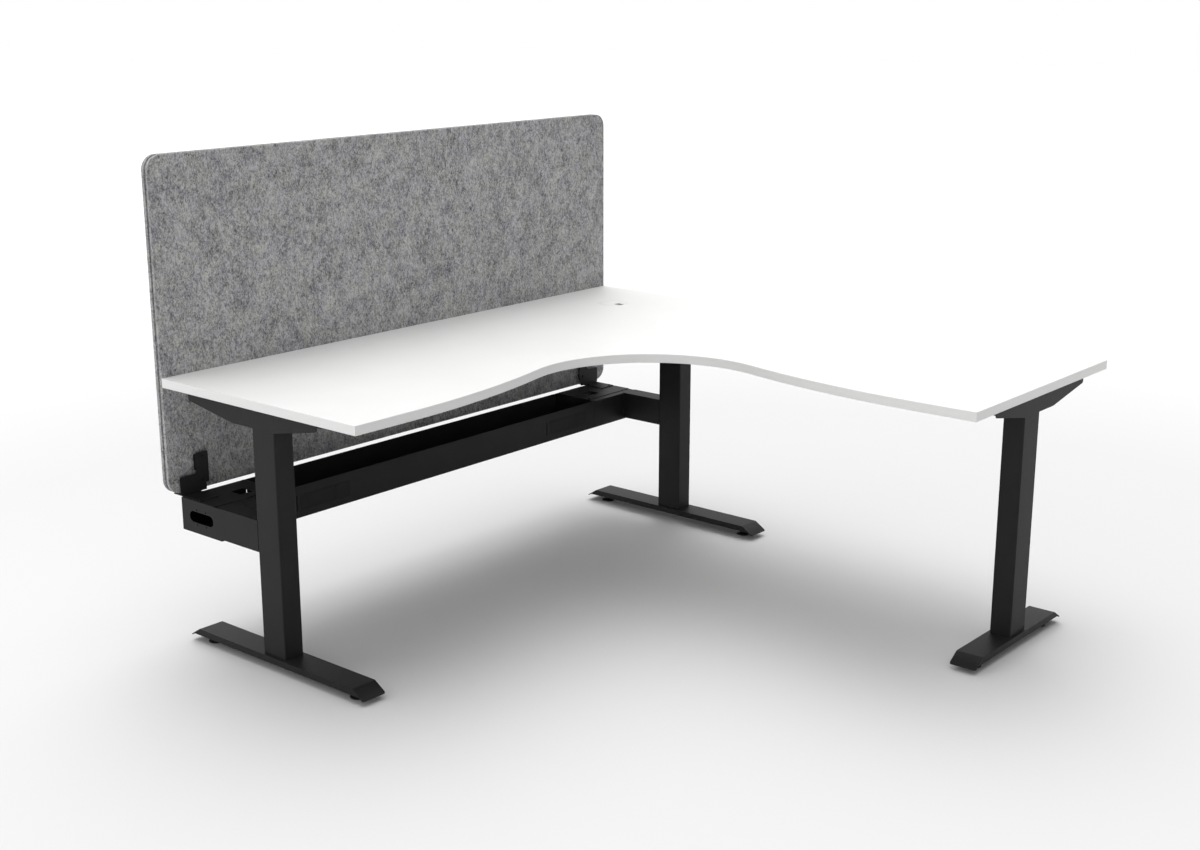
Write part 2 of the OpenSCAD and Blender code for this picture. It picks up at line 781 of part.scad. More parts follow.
module glide(i, j) {
    y = j * (foot_len[i] / 2 - glide_end);
    color(DARK) at_leg(i) translate([0, y, 0]) rotate_extrude($fn = 64) polygon([
        [0, 0],
        [glide_d / 2 - glide_bevel, 0],
        [glide_d / 2, glide_bevel],
        [glide_d / 2, rim_glide],
        [crown_d / 2, glide_h],
        [stem_d / 2, glide_h],
        [stem_d / 2, stem_top],
        [0, stem_top]
    ]);
}

module glide_left_rear() { glide(0, 1); }
module glide_left_front() { glide(0, -1); }
module glide_corner_rear() { glide(1, 1); }
module glide_corner_front() { glide(1, -1); }
module glide_right_outer() { glide(2, 1); }
module glide_right_inner() { glide(2, -1); }

// Top supports

// Side view from front tip to rear tip, drawn in by e all round
module support_side_view(e) {
    z_tip = under_z - tip_h + e;
    z_low = col_top + e;
    polygon([
        [-front_reach + e, under_z],
        [-front_reach + e, z_tip + tip_cut],
        [-front_reach + tip_cut + e, z_tip],
        [-col_d / 2, z_low],
        [level_rear, z_low],
        [rear_reach - tip_cut - e, z_tip],
        [rear_reach - e, z_tip + tip_cut],
        [rear_reach - e, under_z]
    ]);
}

module support_slab(e, w, h) {
    translate([-w / 2, 0, 0]) rotate([90, 0, 90]) linear_extrude(w) intersection() {
        support_side_view(e);
        translate([-front_reach, 0]) square([front_reach + rear_reach, h]);
    }
}

module top_support(i) {
    color(BLACK) at_leg(i) difference() {
        support_slab(0, col_w, under_z);
        support_slab(support_t, col_w - 2 * support_t, under_z - support_t);
        bar([-col_w / 2 + flange_w, -front_reach - past, under_z - support_t - past],
            [col_w / 2 - flange_w, rear_reach + past, under_z + past]);
        for (y = [-front_reach - past, rear_reach - tip_open])
            bar([-col_w / 2 + support_t, y, col_top - past],
                [col_w / 2 - support_t, y + tip_open + past, under_z - support_t]);
        column_bolt_places() bolt_hole(col_top, support_t);
        wood_places() sheet_hole(under_z - support_t, support_t);
        if (i == 0) side_holes([-bar_front, bar_rear], 1);
        if (i == 1) side_holes([-bar_front, bar_rear], -1);
        if (i == 2) side_holes([-rail_inner, rail_outer], -1);
    }
}

// Holes for the rails' screws, through the side plate at the given side of a support
module side_holes(at, side) {
    x = side * (col_w - support_t) / 2;
    for (y = at, j = [-1, 1]) translate([x, y + j * bolt_run, rail_z + rail_h / 2])
        rotate([0, 90, 0]) cylinder(d = screw_hole, h = support_t + 2 * past, center = true);
}

module top_support_left() { top_support(0); }
module top_support_corner() { top_support(1); }
module top_support_right() { top_support(2); }

// Crossbars and rails

// A tube of length l along Y with a plate welded on each end; its first end is at the origin
module rail(l, far_holes) {
    difference() {
        union() {
            bar([-rail_w / 2, 0, rail_z], [rail_w / 2, l, rail_z + rail_h]);
            for (y = [0, l - end_plate])
                bar([-plate_w / 2, y, rail_z], [plate_w / 2, y + end_plate, rail_z + rail_h]);
        }
        bar([-rail_w / 2 + rail_wall, end_plate, rail_z + rail_wall],
            [rail_w / 2 - rail_wall, l - end_plate, rail_z + rail_h - rail_wall]);
        for (i = [-1, 1], y = [0, l - end_plate])
            along_y([i * bolt_run, y - past, rail_z + rail_h / 2], screw_hole, end_plate + 2 * past);
    }
}

module crossbar(i) {
    color(BLACK) difference() {
        translate([bar_from, bar_y[i], 0]) rotate(-90) rail(bar_to - bar_from);
        if (i == 0) for (x = rail_x, j = [-1, 1])
            along_y([x + j * bolt_run, rail_to - past, rail_z + rail_h / 2],
                screw_hole, rail_wall + 2 * past);
    }
}

module return_rail(i) {
    color(BLACK) translate([rail_x[i], rail_from, 0]) rail(rail_to - rail_from);
}

module crossbar_front() { crossbar(0); }
module crossbar_rear() { crossbar(1); }
module return_rail_inner() { return_rail(0); }
module return_rail_outer() { return_rail(1); }

// Fasteners, each drawn with its head's seat at z = 0 and its shank upwards

module bolt(l) {
    translate([0, 0, -bolt_head_h]) cylinder(d = bolt_head_d, h = bolt_head_h, $fn = 6);
    translate([0, 0, -past]) cylinder(d = bolt_d, h = l + past);
}

module screw(l) {
    translate([0, 0, -screw_head_h]) cylinder(d = screw_head_d, h = screw_head_h);
    translate([0, 0, -past]) cylinder(d = screw_d, h = l + past);
}

module worktop_screws() {
    color(STEEL) for (i = [0, 1, 2]) at_leg(i) wood_places()
        translate([0, 0, under_z - support_t]) screw(support_t + wood_bite);
}

module support_bolts() {
    color(STEEL) for (i = [0, 1, 2]) at_leg(i) column_bolt_places()
        translate([0, 0, col_top + support_t]) rotate([180, 0, 0]) bolt(support_t + col_plate + bolt_out);
}

module foot_bolts() {
    color(STEEL) for (i = [0, 1, 2]) at_leg(i) column_bolt_places()
        translate([0, 0, foot_h - foot_t]) bolt(foot_t + col_plate + bolt_out);
}

module arm_bolts() {
    color(STEEL) for (side = [0, 1]) at_box(side) arm_bolt_places() {
        translate([0, arm_front + end_plate, 0]) rotate([90, 0, 0]) bolt(end_plate + col_wall + bolt_out);
        translate([0, box_front + sheet, 0]) rotate([90, 0, 0]) bolt(sheet + end_plate + bolt_out);
    }
}

module rail_screw_row(l) {
    for (i = [-1, 1]) translate([i * bolt_run, 0, rail_z + rail_h / 2]) {
        translate([0, end_plate, 0]) rotate([90, 0, 0]) screw(end_plate + support_t + screw_out);
        translate([0, l - end_plate, 0]) rotate([-90, 0, 0]) screw(end_plate + support_t + screw_out);
    }
}

module rail_screws() {
    color(STEEL) {
        for (y = bar_y) translate([bar_from, y, 0]) rotate(-90) rail_screw_row(bar_to - bar_from);
        for (x = rail_x) translate([x, rail_from, 0]) rail_screw_row(rail_to - rail_from);
    }
}

module tray_screws() {
    color(STEEL) for (side = [0, 1]) at_box(side) tray_screw_places(side)
        translate([0, 0, tray_z + sheet]) rotate([180, 0, 0]) screw(2 * sheet + screw_out);
}

module cover_screws() {
    color(STEEL) for (side = [0, 1]) at_box(side) {
        cover_screw_places() translate([0, 0, beam_z]) rotate([180, 0, 0]) screw(2 * sheet + screw_out);
        base_screw_places() translate([0, 0, base_top]) rotate([180, 0, 0])
            screw(bracket_t + 2 * sheet + screw_out);
    }
}

module screen_screws() {
    color(STEEL) for (side = [0, 1]) at_box(side) for (z = screen_screw_z)
        translate([tab_mid, box_back, z]) rotate([-90, 0, 0]) screw(tray_back + felt_t + screen_bite);
}

worktop();
edge_band();
grommet_sleeve();
grommet_lid();
screen_front_panel();
screen_rear_panel();
screen_core();
screen_bracket_left();
screen_bracket_right();
screen_pads();
screen_spacers();
cable_tray();
tray_end_left();
tray_end_right();
tray_cover_left();
tray_cover_right();
outlet_blank_left();
data_blank_left();
outlet_blank_right();
data_blank_right();
side_arm_left();
side_arm_corner();
column_left();
column_corner();
column_right();
foot_left();
foot_corner();
foot_right();
top_support_left();
top_support_corner();
top_support_right();
crossbar_front();
crossbar_rear();
return_rail_inner();
return_rail_outer();
glide_left_rear();
glide_left_front();
glide_corner_rear();
glide_corner_front();
glide_right_outer();
glide_right_inner();
worktop_screws();
support_bolts();
foot_bolts();
arm_bolts();
rail_screws();
tray_screws();
cover_screws();
screen_screws();
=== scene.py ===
import json
import math

import bpy
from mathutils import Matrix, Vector


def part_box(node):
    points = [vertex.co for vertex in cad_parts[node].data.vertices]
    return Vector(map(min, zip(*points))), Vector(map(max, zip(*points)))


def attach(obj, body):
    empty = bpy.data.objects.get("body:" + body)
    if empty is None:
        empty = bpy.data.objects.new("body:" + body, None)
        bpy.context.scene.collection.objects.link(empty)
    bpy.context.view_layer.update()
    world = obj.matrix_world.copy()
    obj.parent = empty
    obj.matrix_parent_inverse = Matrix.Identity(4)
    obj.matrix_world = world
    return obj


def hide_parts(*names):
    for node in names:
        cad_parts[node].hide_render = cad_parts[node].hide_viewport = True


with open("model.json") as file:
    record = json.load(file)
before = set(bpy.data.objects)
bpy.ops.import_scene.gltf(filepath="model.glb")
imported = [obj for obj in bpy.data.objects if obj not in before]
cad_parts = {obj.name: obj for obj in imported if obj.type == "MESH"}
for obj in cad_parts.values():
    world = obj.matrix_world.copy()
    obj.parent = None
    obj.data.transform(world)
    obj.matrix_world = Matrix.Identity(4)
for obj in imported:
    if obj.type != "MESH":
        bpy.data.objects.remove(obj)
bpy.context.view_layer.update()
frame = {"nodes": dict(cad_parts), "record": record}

# The scene is in metres, and the desk's own sizes are written in millimetres
MM = 0.001
record = frame["record"]
# The body of each part
body_of = {node: body for body, nodes in record["behaviour"]["bodies"].items() for node in nodes}


# Camera, floor and light, with their places and sizes in metres

CAMERA_PLACE = (-3.398, -2.7121, 1.7311)
# How far the camera looks below the horizon and how far it is turned, in radians
CAMERA_DIP = 0.26049
CAMERA_TURN = -0.87149
# Its focal length and the width of its sensor in millimetres, and how far it sees
CAMERA_LENS = 49.85
CAMERA_SENSOR = 36.0
CAMERA_REACH = 100.0

# Azimuth and elevation of each soft box in degrees, how tightly it is gathered, and its strength
SOFT_BOXES = [
    (0, 90, 10.0, 2.33),
    (45, 55, 8.0, 3.6),
    (225, 25, 8.0, 0.7),
    (270, 25, 8.0, 0.44),
    (135, 25, 8.0, 1.2),
    (185, 20, 12.0, 0.6),
]
# Power of the lamp at the left in watts, its size and place, and the point that it faces
LAMP_POWER = 11.6
LAMP_SIZE = (3.0, 1.5)
LAMP_PLACE = (-3.6, 2.2, 0.8)
LAMP_TARGET = (0.0, 0.3, 0.8)

FLOOR_SIZE = 60.0
# The floor's colour near the desk and far away, and the colour that lights the desk from below
FLOOR_NEAR = "#E3E3E3"
FLOOR_FAR = "#FFFFFF"
FLOOR_BOUNCE = "#D0D0D0"
# Distances from the origin between which the floor turns from the one colour to the other
FLOOR_SWEEP = (2.5, 7.0)


def put_camera():
    """At standing eye height beside the left wing, looking into the corner."""
    bpy.ops.object.camera_add(location=CAMERA_PLACE, rotation=(math.pi / 2 - CAMERA_DIP, 0.0, CAMERA_TURN))
    camera = bpy.context.object
    camera.name = "camera"
    camera.data.lens = CAMERA_LENS
    camera.data.sensor_width = CAMERA_SENSOR
    camera.data.clip_end = CAMERA_REACH
    bpy.context.scene.camera = camera


def put_lamp(name, size, power, place, target):
    """A rectangular softbox that faces its target."""
    bpy.ops.object.light_add(type="AREA", location=place)
    lamp = bpy.context.object
    lamp.name = name
    lamp.data.shape = "RECTANGLE"
    lamp.data.size, lamp.data.size_y = size
    lamp.data.energy = power
    lamp.rotation_euler = (Vector(target) - Vector(place)).to_track_quat("-Z", "Y").to_euler()


def linear(code):
    """An sRGB hex colour as linear red, green, blue and alpha."""
    levels = [int(code[i:i + 2], 16) / 255 for i in (1, 3, 5)]
    return [v / 12.92 if v <= 0.04045 else ((v + 0.055) / 1.055) ** 2.4 for v in levels] + [1.0]


def add(tree, kind, inputs=None, stops=(), **settings):
    """Adds a node with its settings, a ramp's stops of (place, hex colour), and its inputs, linked or set."""
    node = tree.nodes.new("ShaderNode" + kind)
    for name, value in settings.items():
        setattr(node, name, value)
    if stops:
        marks = node.color_ramp.elements
        while len(marks) < len(stops):
            marks.new(0.5)
        for mark, (place, code) in zip(marks, stops):
            mark.position = place
            mark.color = linear(code)
    for name, value in (inputs or {}).items():
        if isinstance(value, bpy.types.NodeSocket):
            tree.links.new(value, node.inputs[name])
        else:
            node.inputs[name].default_value = value
    return node


def seen_directly(tree):
    """1 for what the camera sees, in mirrors and through glass too, and 0 for what lights other things."""
    ray = add(tree, "LightPath").outputs
    mirrored = add(tree, "Math", {0: ray["Is Camera Ray"], 1: ray["Is Glossy Ray"]}, operation="MAXIMUM")
    seen = add(tree, "Math", {0: mirrored.outputs[0], 1: ray["Is Transmission Ray"]}, operation="MAXIMUM")
    return seen.outputs[0]


def light_studio():
    """A white room lit by soft boxes, which are drawn in the sky, and one long lamp at the left."""
    world = bpy.data.worlds.new("studio")
    bpy.context.scene.world = world
    world.use_nodes = True
    tree = world.node_tree
    tree.nodes.clear()
    way = add(tree, "TexCoord").outputs["Generated"]
    total = 0.0
    for azimuth, elevation, gathered, strength in SOFT_BOXES:
        turn, rise = math.radians(azimuth), math.radians(elevation)
        middle = (math.cos(rise) * math.cos(turn), math.cos(rise) * math.sin(turn), math.sin(rise))
        near = add(tree, "VectorMath", {0: way, 1: middle}, operation="DOT_PRODUCT").outputs["Value"]
        near = add(tree, "Math", {0: near, 1: 0.0}, operation="MAXIMUM").outputs[0]
        box = add(tree, "Math", {0: near, 1: gathered}, operation="POWER").outputs[0]
        total = add(tree, "Math", {0: box, 1: strength, 2: total}, operation="MULTIPLY_ADD").outputs[0]
    lit = add(tree, "Background", {"Color": linear("#FFFFFF"), "Strength": total})
    white = add(tree, "Background", {"Color": linear("#FFFFFF"), "Strength": 1.0})
    both = add(tree, "MixShader", {0: seen_directly(tree), 1: lit.outputs[0], 2: white.outputs[0]})
    output = add(tree, "OutputWorld")
    tree.links.new(both.outputs[0], output.inputs["Surface"])
    put_lamp("left_softbox", LAMP_SIZE, LAMP_POWER, LAMP_PLACE, LAMP_TARGET)


def lay_floor():
    """Pale studio floor that runs out to white, as a swept paper backdrop does."""
    only()
    bpy.ops.mesh.primitive_plane_add(size=FLOOR_SIZE, location=(0, 0, 0))
    floor = bpy.context.object
    floor.name = "studio_floor"
    material, tree, place = blank_material("studio_floor_paint")
    away = add(tree, "VectorMath", {0: place}, operation="LENGTH").outputs["Value"]
    start, end = FLOOR_SWEEP
    sweep = add(tree, "MapRange", {"Value": away, "From Min": start, "From Max": end}).outputs["Result"]
    paper = add(tree, "Mix", {
        "Factor": sweep, "A": linear(FLOOR_NEAR), "B": linear(FLOOR_FAR)}, data_type="RGBA")
    bounced = add(tree, "BsdfDiffuse", {"Color": linear(FLOOR_BOUNCE)})
    seen = add(tree, "BsdfDiffuse", {"Color": paper.outputs["Result"]})
    both = add(tree, "MixShader", {0: seen_directly(tree), 1: bounced.outputs[0], 2: seen.outputs[0]})
    finish_material(tree, both)
    coat(floor, material)


# Materials

def blank_material(name):
    """An empty material, its node tree, and the place on the object that its patterns follow."""
    material = bpy.data.materials.new(name)
    material.use_nodes = True
    tree = material.node_tree
    tree.nodes.clear()
    return material, tree, add(tree, "TexCoord").outputs["Object"]


def finish_material(tree, shader):
    """Links a shader to the material's output."""
    output = add(tree, "OutputMaterial")
    tree.links.new(shader.outputs[0], output.inputs["Surface"])


def powder_coated_steel():
    """Black polyester powder coat: a fine leather-like grain that breaks up the highlights."""
    material, tree, place = blank_material("powder_coated_steel")
    # the real grain is 0.5 mm; 1.4 mm shows at a step's distance
    grain = add(tree, "TexNoise", {
        "Vector": place, "Scale": 1 / (1.4 * MM), "Detail": 2.0, "Roughness": 0.6}).outputs["Fac"]
    # the coat is a little thicker here and there, over some 90 mm
    cloud = add(tree, "TexNoise", {"Vector": place, "Scale": 1 / (90 * MM), "Detail": 3.0}).outputs["Fac"]
    tint = add(tree, "ValToRGB", {"Fac": cloud}, stops=[(0.3, "#1F1F1F"), (0.7, "#232324")])
    gloss = add(tree, "MapRange", {
        "Value": grain, "From Min": 0.3, "From Max": 0.7, "To Min": 0.4, "To Max": 0.54})
    relief = add(tree, "Bump", {"Height": grain, "Strength": 0.25, "Distance": 0.15 * MM})
    paint = add(tree, "BsdfPrincipled", {
        "Base Color": tint.outputs["Color"],
        "Roughness": gloss.outputs["Result"],
        "Normal": relief.outputs["Normal"],
        "Specular IOR Level": 0.15})
    finish_material(tree, paint)
    return material


def melamine_board():
    """White melamine-faced chipboard: matt, with the faint pearl of the press plate."""
    material, tree, place = blank_material("melamine_board")
    # the real pearl is 0.7 mm; 2 mm shows
    pearl = add(tree, "TexNoise", {"Vector": place, "Scale": 1 / (2 * MM), "Detail": 2.0}).outputs["Fac"]
    # the printed paper is a little greyer here and there, over some 300 mm
    cloud = add(tree, "TexNoise", {"Vector": place, "Scale": 1 / (300 * MM), "Detail": 2.0}).outputs["Fac"]
    tint = add(tree, "ValToRGB", {"Fac": cloud}, stops=[(0.35, "#F0F0EF"), (0.65, "#F3F3F2")])
    gloss = add(tree, "MapRange", {
        "Value": pearl, "From Min": 0.3, "From Max": 0.7, "To Min": 0.46, "To Max": 0.56})
    relief = add(tree, "Bump", {"Height": pearl, "Strength": 0.15, "Distance": 0.1 * MM})
    face = add(tree, "BsdfPrincipled", {
        "Base Color": tint.outputs["Color"],
        "Roughness": gloss.outputs["Result"],
        "Normal": relief.outputs["Normal"],
        "Specular IOR Level": 0.4})
    finish_material(tree, face)
    return material


def moulded_plastic(name, dark, light, rough, grain_size, gleam=0.35):
    """Moulded plastic with the spark-eroded grain of its tool: an even satin skin without sharp glints."""
    material, tree, place = blank_material(name)
    # the real grain is some 0.1 mm; it is drawn at 1.5 or 3 mm to show
    grain = add(tree, "TexNoise", {
        "Vector": place, "Scale": 1 / (grain_size * MM), "Detail": 2.0}).outputs["Fac"]
    tint = add(tree, "ValToRGB", {"Fac": grain}, stops=[(0.35, dark), (0.65, light)])
    gloss = add(tree, "MapRange", {
        "Value": grain, "From Min": 0.3, "From Max": 0.7, "To Min": rough - 0.05, "To Max": rough + 0.05})
    relief = add(tree, "Bump", {"Height": grain, "Strength": 0.2, "Distance": 0.08 * MM})
    skin = add(tree, "BsdfPrincipled", {
        "Base Color": tint.outputs["Color"],
        "Roughness": gloss.outputs["Result"],
        "Normal": relief.outputs["Normal"],
        "Specular IOR Level": gleam})
    finish_material(tree, skin)
    return material


def tumbled_metal(name, dark, light, smoothest, dullest):
    """The metal skin of small fasteners, which tumbling in the plating drum has dulled."""
    material, tree, place = blank_material(name)
    # the real marks are 0.2 mm; 1.5 mm shows
    marks = add(tree, "TexNoise", {"Vector": place, "Scale": 1 / (1.5 * MM), "Detail": 4.0}).outputs["Fac"]
    tint = add(tree, "ValToRGB", {"Fac": marks}, stops=[(0.3, dark), (0.7, light)])
    gloss = add(tree, "MapRange", {"Value": marks, "To Min": smoothest, "To Max": dullest})
    metal = add(tree, "BsdfPrincipled", {
        "Base Color": tint.outputs["Color"],
        "Roughness": gloss.outputs["Result"],
        "Metallic": 1.0})
    finish_material(tree, metal)
    return material


def zinc_plated_steel():
    """Bright zinc plating: pale bluish metal with a soft shine."""
    return tumbled_metal("zinc_plated_steel", "#A6A8AB", "#C9CBCE", 0.28, 0.5)


def blackened_steel():
    """Black oxide on screws: dark metal with a dull oily gleam."""
    return tumbled_metal("blackened_steel", "#1E1F20", "#2B2C2E", 0.35, 0.55)


# Sizes of the felt's marks in millimetres. Single fibres are 0.04 mm thick, and are drawn as strands of 3 mm
# to show. Needles pull them together into tufts, and the web is laid in clouds.
STRAND = 3.0
TUFT = 9.0
CLOUD = 60
# Batches of fibre, some a cooler grey and some a warmer one
BATCH = 45
COOL_CAST = "#F7F6FB"
WARM_CAST = "#F9F9F7"
# Black flecks, the bends of the black curls, and the patches in which those curls lie
FLECK = 5.0
BEND = 50
CURL_PATCH = 28
BLACK_FIBRE = "#2A2A2D"
# How much of that black shows in a fleck and in a curl
FLECK_DARKNESS = 0.6
CURL_DARKNESS = 0.5
# Levels of noise at which flecks and patches set in and are full, and half the width of a curl in such levels
FLECK_EDGE = (0.66, 0.74)
PATCH_EDGE = (0.63, 0.68)
CURL_WIDTH = 0.014
# The pattern's scale along the height, against 1 across, which makes its marks longer upright
UPRIGHT_SCALE = 0.6
# Shares of strands and tufts in the pattern; the clouds have the rest
STRAND_PART = 0.5
TUFT_PART = 0.3
# Where the dark, middle and light grey lie in the pattern, and the two casts in the batches
GREY_STOPS = (0.35, 0.47, 0.59)
CAST_STOPS = (0.42, 0.58)


def black_fibres(tree, place, upright):
    """Where a few fibres are black: in short flecks, and in curls along the middle level of a noise."""
    spots = add(tree, "TexNoise", {
        "Vector": upright, "Scale": 1 / (FLECK * MM), "Detail": 1.0, "Roughness": 0.6, "Distortion": 0.6})
    fleck = add(tree, "MapRange", {
        "Value": spots.outputs["Fac"], "From Min": FLECK_EDGE[0], "From Max": FLECK_EDGE[1],
        "To Max": FLECK_DARKNESS})
    bends = add(tree, "TexNoise", {
        "Vector": place, "Scale": 1 / (BEND * MM), "Detail": 1.0, "Distortion": 1.5})
    off = add(tree, "Math", {0: bends.outputs["Fac"], 1: 0.5}, operation="SUBTRACT")
    off = add(tree, "Math", {0: off.outputs[0]}, operation="ABSOLUTE")
    line = add(tree, "MapRange", {
        "Value": off.outputs[0], "From Min": 0.0, "From Max": CURL_WIDTH, "To Min": 1.0, "To Max": 0.0})
    where = add(tree, "TexNoise", {"Vector": place, "Scale": 1 / (CURL_PATCH * MM), "Detail": 0.0})
    patch = add(tree, "MapRange", {
        "Value": where.outputs["Fac"], "From Min": PATCH_EDGE[0], "From Max": PATCH_EDGE[1],
        "To Max": CURL_DARKNESS})
    curl = add(tree, "Math", {0: line.outputs["Result"], 1: patch.outputs["Result"]}, operation="MULTIPLY")
    both = add(tree, "Math", {0: fleck.outputs["Result"], 1: curl.outputs[0]}, operation="MAXIMUM")
    return both.outputs[0]


def pressed_felt(name, *greys):
    """Needled polyester felt, pressed hard: streaks of mixed grey fibre, dark flecks and curled fibres."""
    material, tree, place = blank_material(name)
    # the fibres of the web stand mostly upright
    upright = add(tree, "Mapping", {"Vector": place, "Scale": (1.0, 1.0, UPRIGHT_SCALE)}).outputs["Vector"]
    strands = add(tree, "TexNoise", {
        "Vector": upright, "Scale": 1 / (STRAND * MM), "Detail": 2.0, "Roughness": 0.7, "Distortion": 0.6})
    tufts = add(tree, "TexNoise", {
        "Vector": upright, "Scale": 1 / (TUFT * MM), "Detail": 2.0, "Roughness": 0.6, "Distortion": 0.8})
    clouds = add(tree, "TexNoise", {
        "Vector": place, "Scale": 1 / (CLOUD * MM), "Detail": 3.0, "Roughness": 0.6, "Distortion": 0.4})
    batches = add(tree, "TexNoise", {
        "Vector": place, "Scale": 1 / (BATCH * MM), "Detail": 2.0, "Roughness": 0.5, "Distortion": 0.8})
    web = add(tree, "Math", {0: tufts.outputs["Fac"], 1: TUFT_PART}, operation="MULTIPLY").outputs[0]
    web = add(tree, "Math", {
        0: strands.outputs["Fac"], 1: STRAND_PART, 2: web}, operation="MULTIPLY_ADD").outputs[0]
    mixed = add(tree, "Math", {
        0: clouds.outputs["Fac"], 1: 1 - TUFT_PART - STRAND_PART, 2: web}, operation="MULTIPLY_ADD")
    grey = add(tree, "ValToRGB", {"Fac": mixed.outputs[0]}, stops=list(zip(GREY_STOPS, greys)))
    cast = add(tree, "ValToRGB", {"Fac": batches.outputs["Fac"]},
               stops=list(zip(CAST_STOPS, (COOL_CAST, WARM_CAST))))
    tinted = add(tree, "Mix", {"Factor": 1.0, "A": grey.outputs["Color"], "B": cast.outputs["Color"]},
                 data_type="RGBA", blend_type="MULTIPLY")
    flecked = add(tree, "Mix", {
        "Factor": black_fibres(tree, place, upright), "A": tinted.outputs["Result"],
        "B": linear(BLACK_FIBRE)}, data_type="RGBA")
    relief = add(tree, "Bump", {"Height": web, "Strength": 0.5, "Distance": 1.0 * MM})
    cloth = add(tree, "BsdfPrincipled", {
        "Base Color": flecked.outputs["Result"],
        "Roughness": 0.95,
        "Normal": relief.outputs["Normal"],
        "Sheen Weight": 0.1,
        "Sheen Roughness": 0.6,
        "Specular IOR Level": 0.15})
    finish_material(tree, cloth)
    return material


# Modelling

# Steps round a full circle: of the grommet and its hole, of glide pads, of bolt heads, and of shanks
FINE_STEPS = 96
PAD_STEPS = 64
HEAD_STEPS = 48
SHANK_STEPS = 24


def only(*pieces):
    """Selects these objects and nothing else."""
    if bpy.context.object and bpy.context.object.mode != "OBJECT":
        bpy.ops.object.mode_set(mode="OBJECT")
    bpy.ops.object.select_all(action="DESELECT")
    for piece in pieces:
        piece.select_set(True)
    if pieces:
        bpy.context.view_layer.objects.active = pieces[-1]


def apply_modifiers(piece):
    """Makes a piece's modifiers part of its mesh, in their order."""
    only(piece)
    for name in [m.name for m in piece.modifiers]:
        bpy.ops.object.modifier_apply(modifier=name)


def apply_placement():
    """Writes the place, turn and size of what is selected into its mesh, so that it lies at the origin."""
    bpy.ops.object.transform_apply(location=True, rotation=True, scale=True)


def coat(piece, material):
    """Gives a piece this material alone."""
    piece.data.materials.clear()
    piece.data.materials.append(material)


def smooth(piece, angle=40):
    """Shades a piece smooth over its rounded edges, and keeps its broad faces flat."""
    only(piece)
    bpy.ops.object.shade_smooth_by_angle(angle=math.radians(angle))
    flat = piece.modifiers.new("flat_faces", "WEIGHTED_NORMAL")
    flat.keep_sharp = True
    flat.weight = 50
    apply_modifiers(piece)


def round_edges(piece, width, segments, angle=50):
    """Rounds every edge that is sharper than the angle."""
    bevel = piece.modifiers.new("edges", "BEVEL")
    bevel.width = width * MM
    bevel.segments = segments
    bevel.limit_method = "ANGLE"
    bevel.angle_limit = math.radians(angle)
    bevel.use_clamp_overlap = True
    apply_modifiers(piece)
    smooth(piece)


def pick_edges(piece, test):
    """Selects the edges whose middle and direction pass the test, and stays in edit mode."""
    only(piece)
    bpy.ops.object.mode_set(mode="EDIT")
    bpy.ops.mesh.select_mode(type="EDGE")
    bpy.ops.mesh.select_all(action="DESELECT")
    bpy.ops.object.mode_set(mode="OBJECT")
    points = piece.data.vertices
    for edge in piece.data.edges:
        a, b = (points[i].co for i in edge.vertices)
        edge.select = test((a + b) / 2, (b - a).normalized())
    bpy.ops.object.mode_set(mode="EDIT")


def bevel_picked(width, segments):
    """Bevels the edges that were picked, and leaves edit mode."""
    bpy.ops.mesh.bevel(offset=width * MM, segments=segments, affect="EDGES")
    bpy.ops.object.mode_set(mode="OBJECT")


def merged_copy(node, name):
    """A copy of a part as one clean mesh, with its loose triangles joined into whole faces."""
    cad = frame["nodes"][node]
    piece = cad.copy()
    piece.data = cad.data.copy()
    piece.name = name
    piece.parent = None
    for key in list(piece.keys()):
        del piece[key]
    bpy.context.scene.collection.objects.link(piece)
    only(piece)
    if piece.data.has_custom_normals:
        bpy.ops.mesh.customdata_custom_splitnormals_clear()
    bpy.ops.object.mode_set(mode="EDIT")
    bpy.ops.mesh.select_all(action="SELECT")
    bpy.ops.mesh.remove_doubles(threshold=0.002 * MM)
    bpy.ops.mesh.dissolve_limited(angle_limit=math.radians(0.5))
    bpy.ops.mesh.select_all(action="DESELECT")
    bpy.ops.object.mode_set(mode="OBJECT")
    return piece


def block(name, low, high):
    """A block between two corners."""
    low, high = Vector(low), Vector(high)
    only()
    bpy.ops.mesh.primitive_cube_add(size=1.0, location=(low + high) / 2)
    piece = bpy.context.object
    piece.name = name
    piece.scale = high - low
    apply_placement()
    return piece


def first_point(name, place):
    """Starts a piece as one selected point, in edit mode."""
    only()
    bpy.ops.mesh.primitive_plane_add(size=MM, location=place)
    piece = bpy.context.object
    piece.name = name
    apply_placement()
    bpy.ops.object.mode_set(mode="EDIT")
    bpy.ops.mesh.select_mode(type="VERT")
    bpy.ops.mesh.select_all(action="SELECT")
    bpy.ops.mesh.merge(type="CENTER")
    return piece


def draw_on(step):
    """Draws a straight line on from the selected point."""
    bpy.ops.mesh.extrude_vertices_move(TRANSFORM_OT_translate={"value": step})


def turn_on(centre, angle, steps):
    """Draws an arc about centre from the selected point, anticlockwise from above for a positive angle."""
    bpy.ops.mesh.spin(steps=steps, angle=-angle, center=centre, axis=(0, 0, 1))


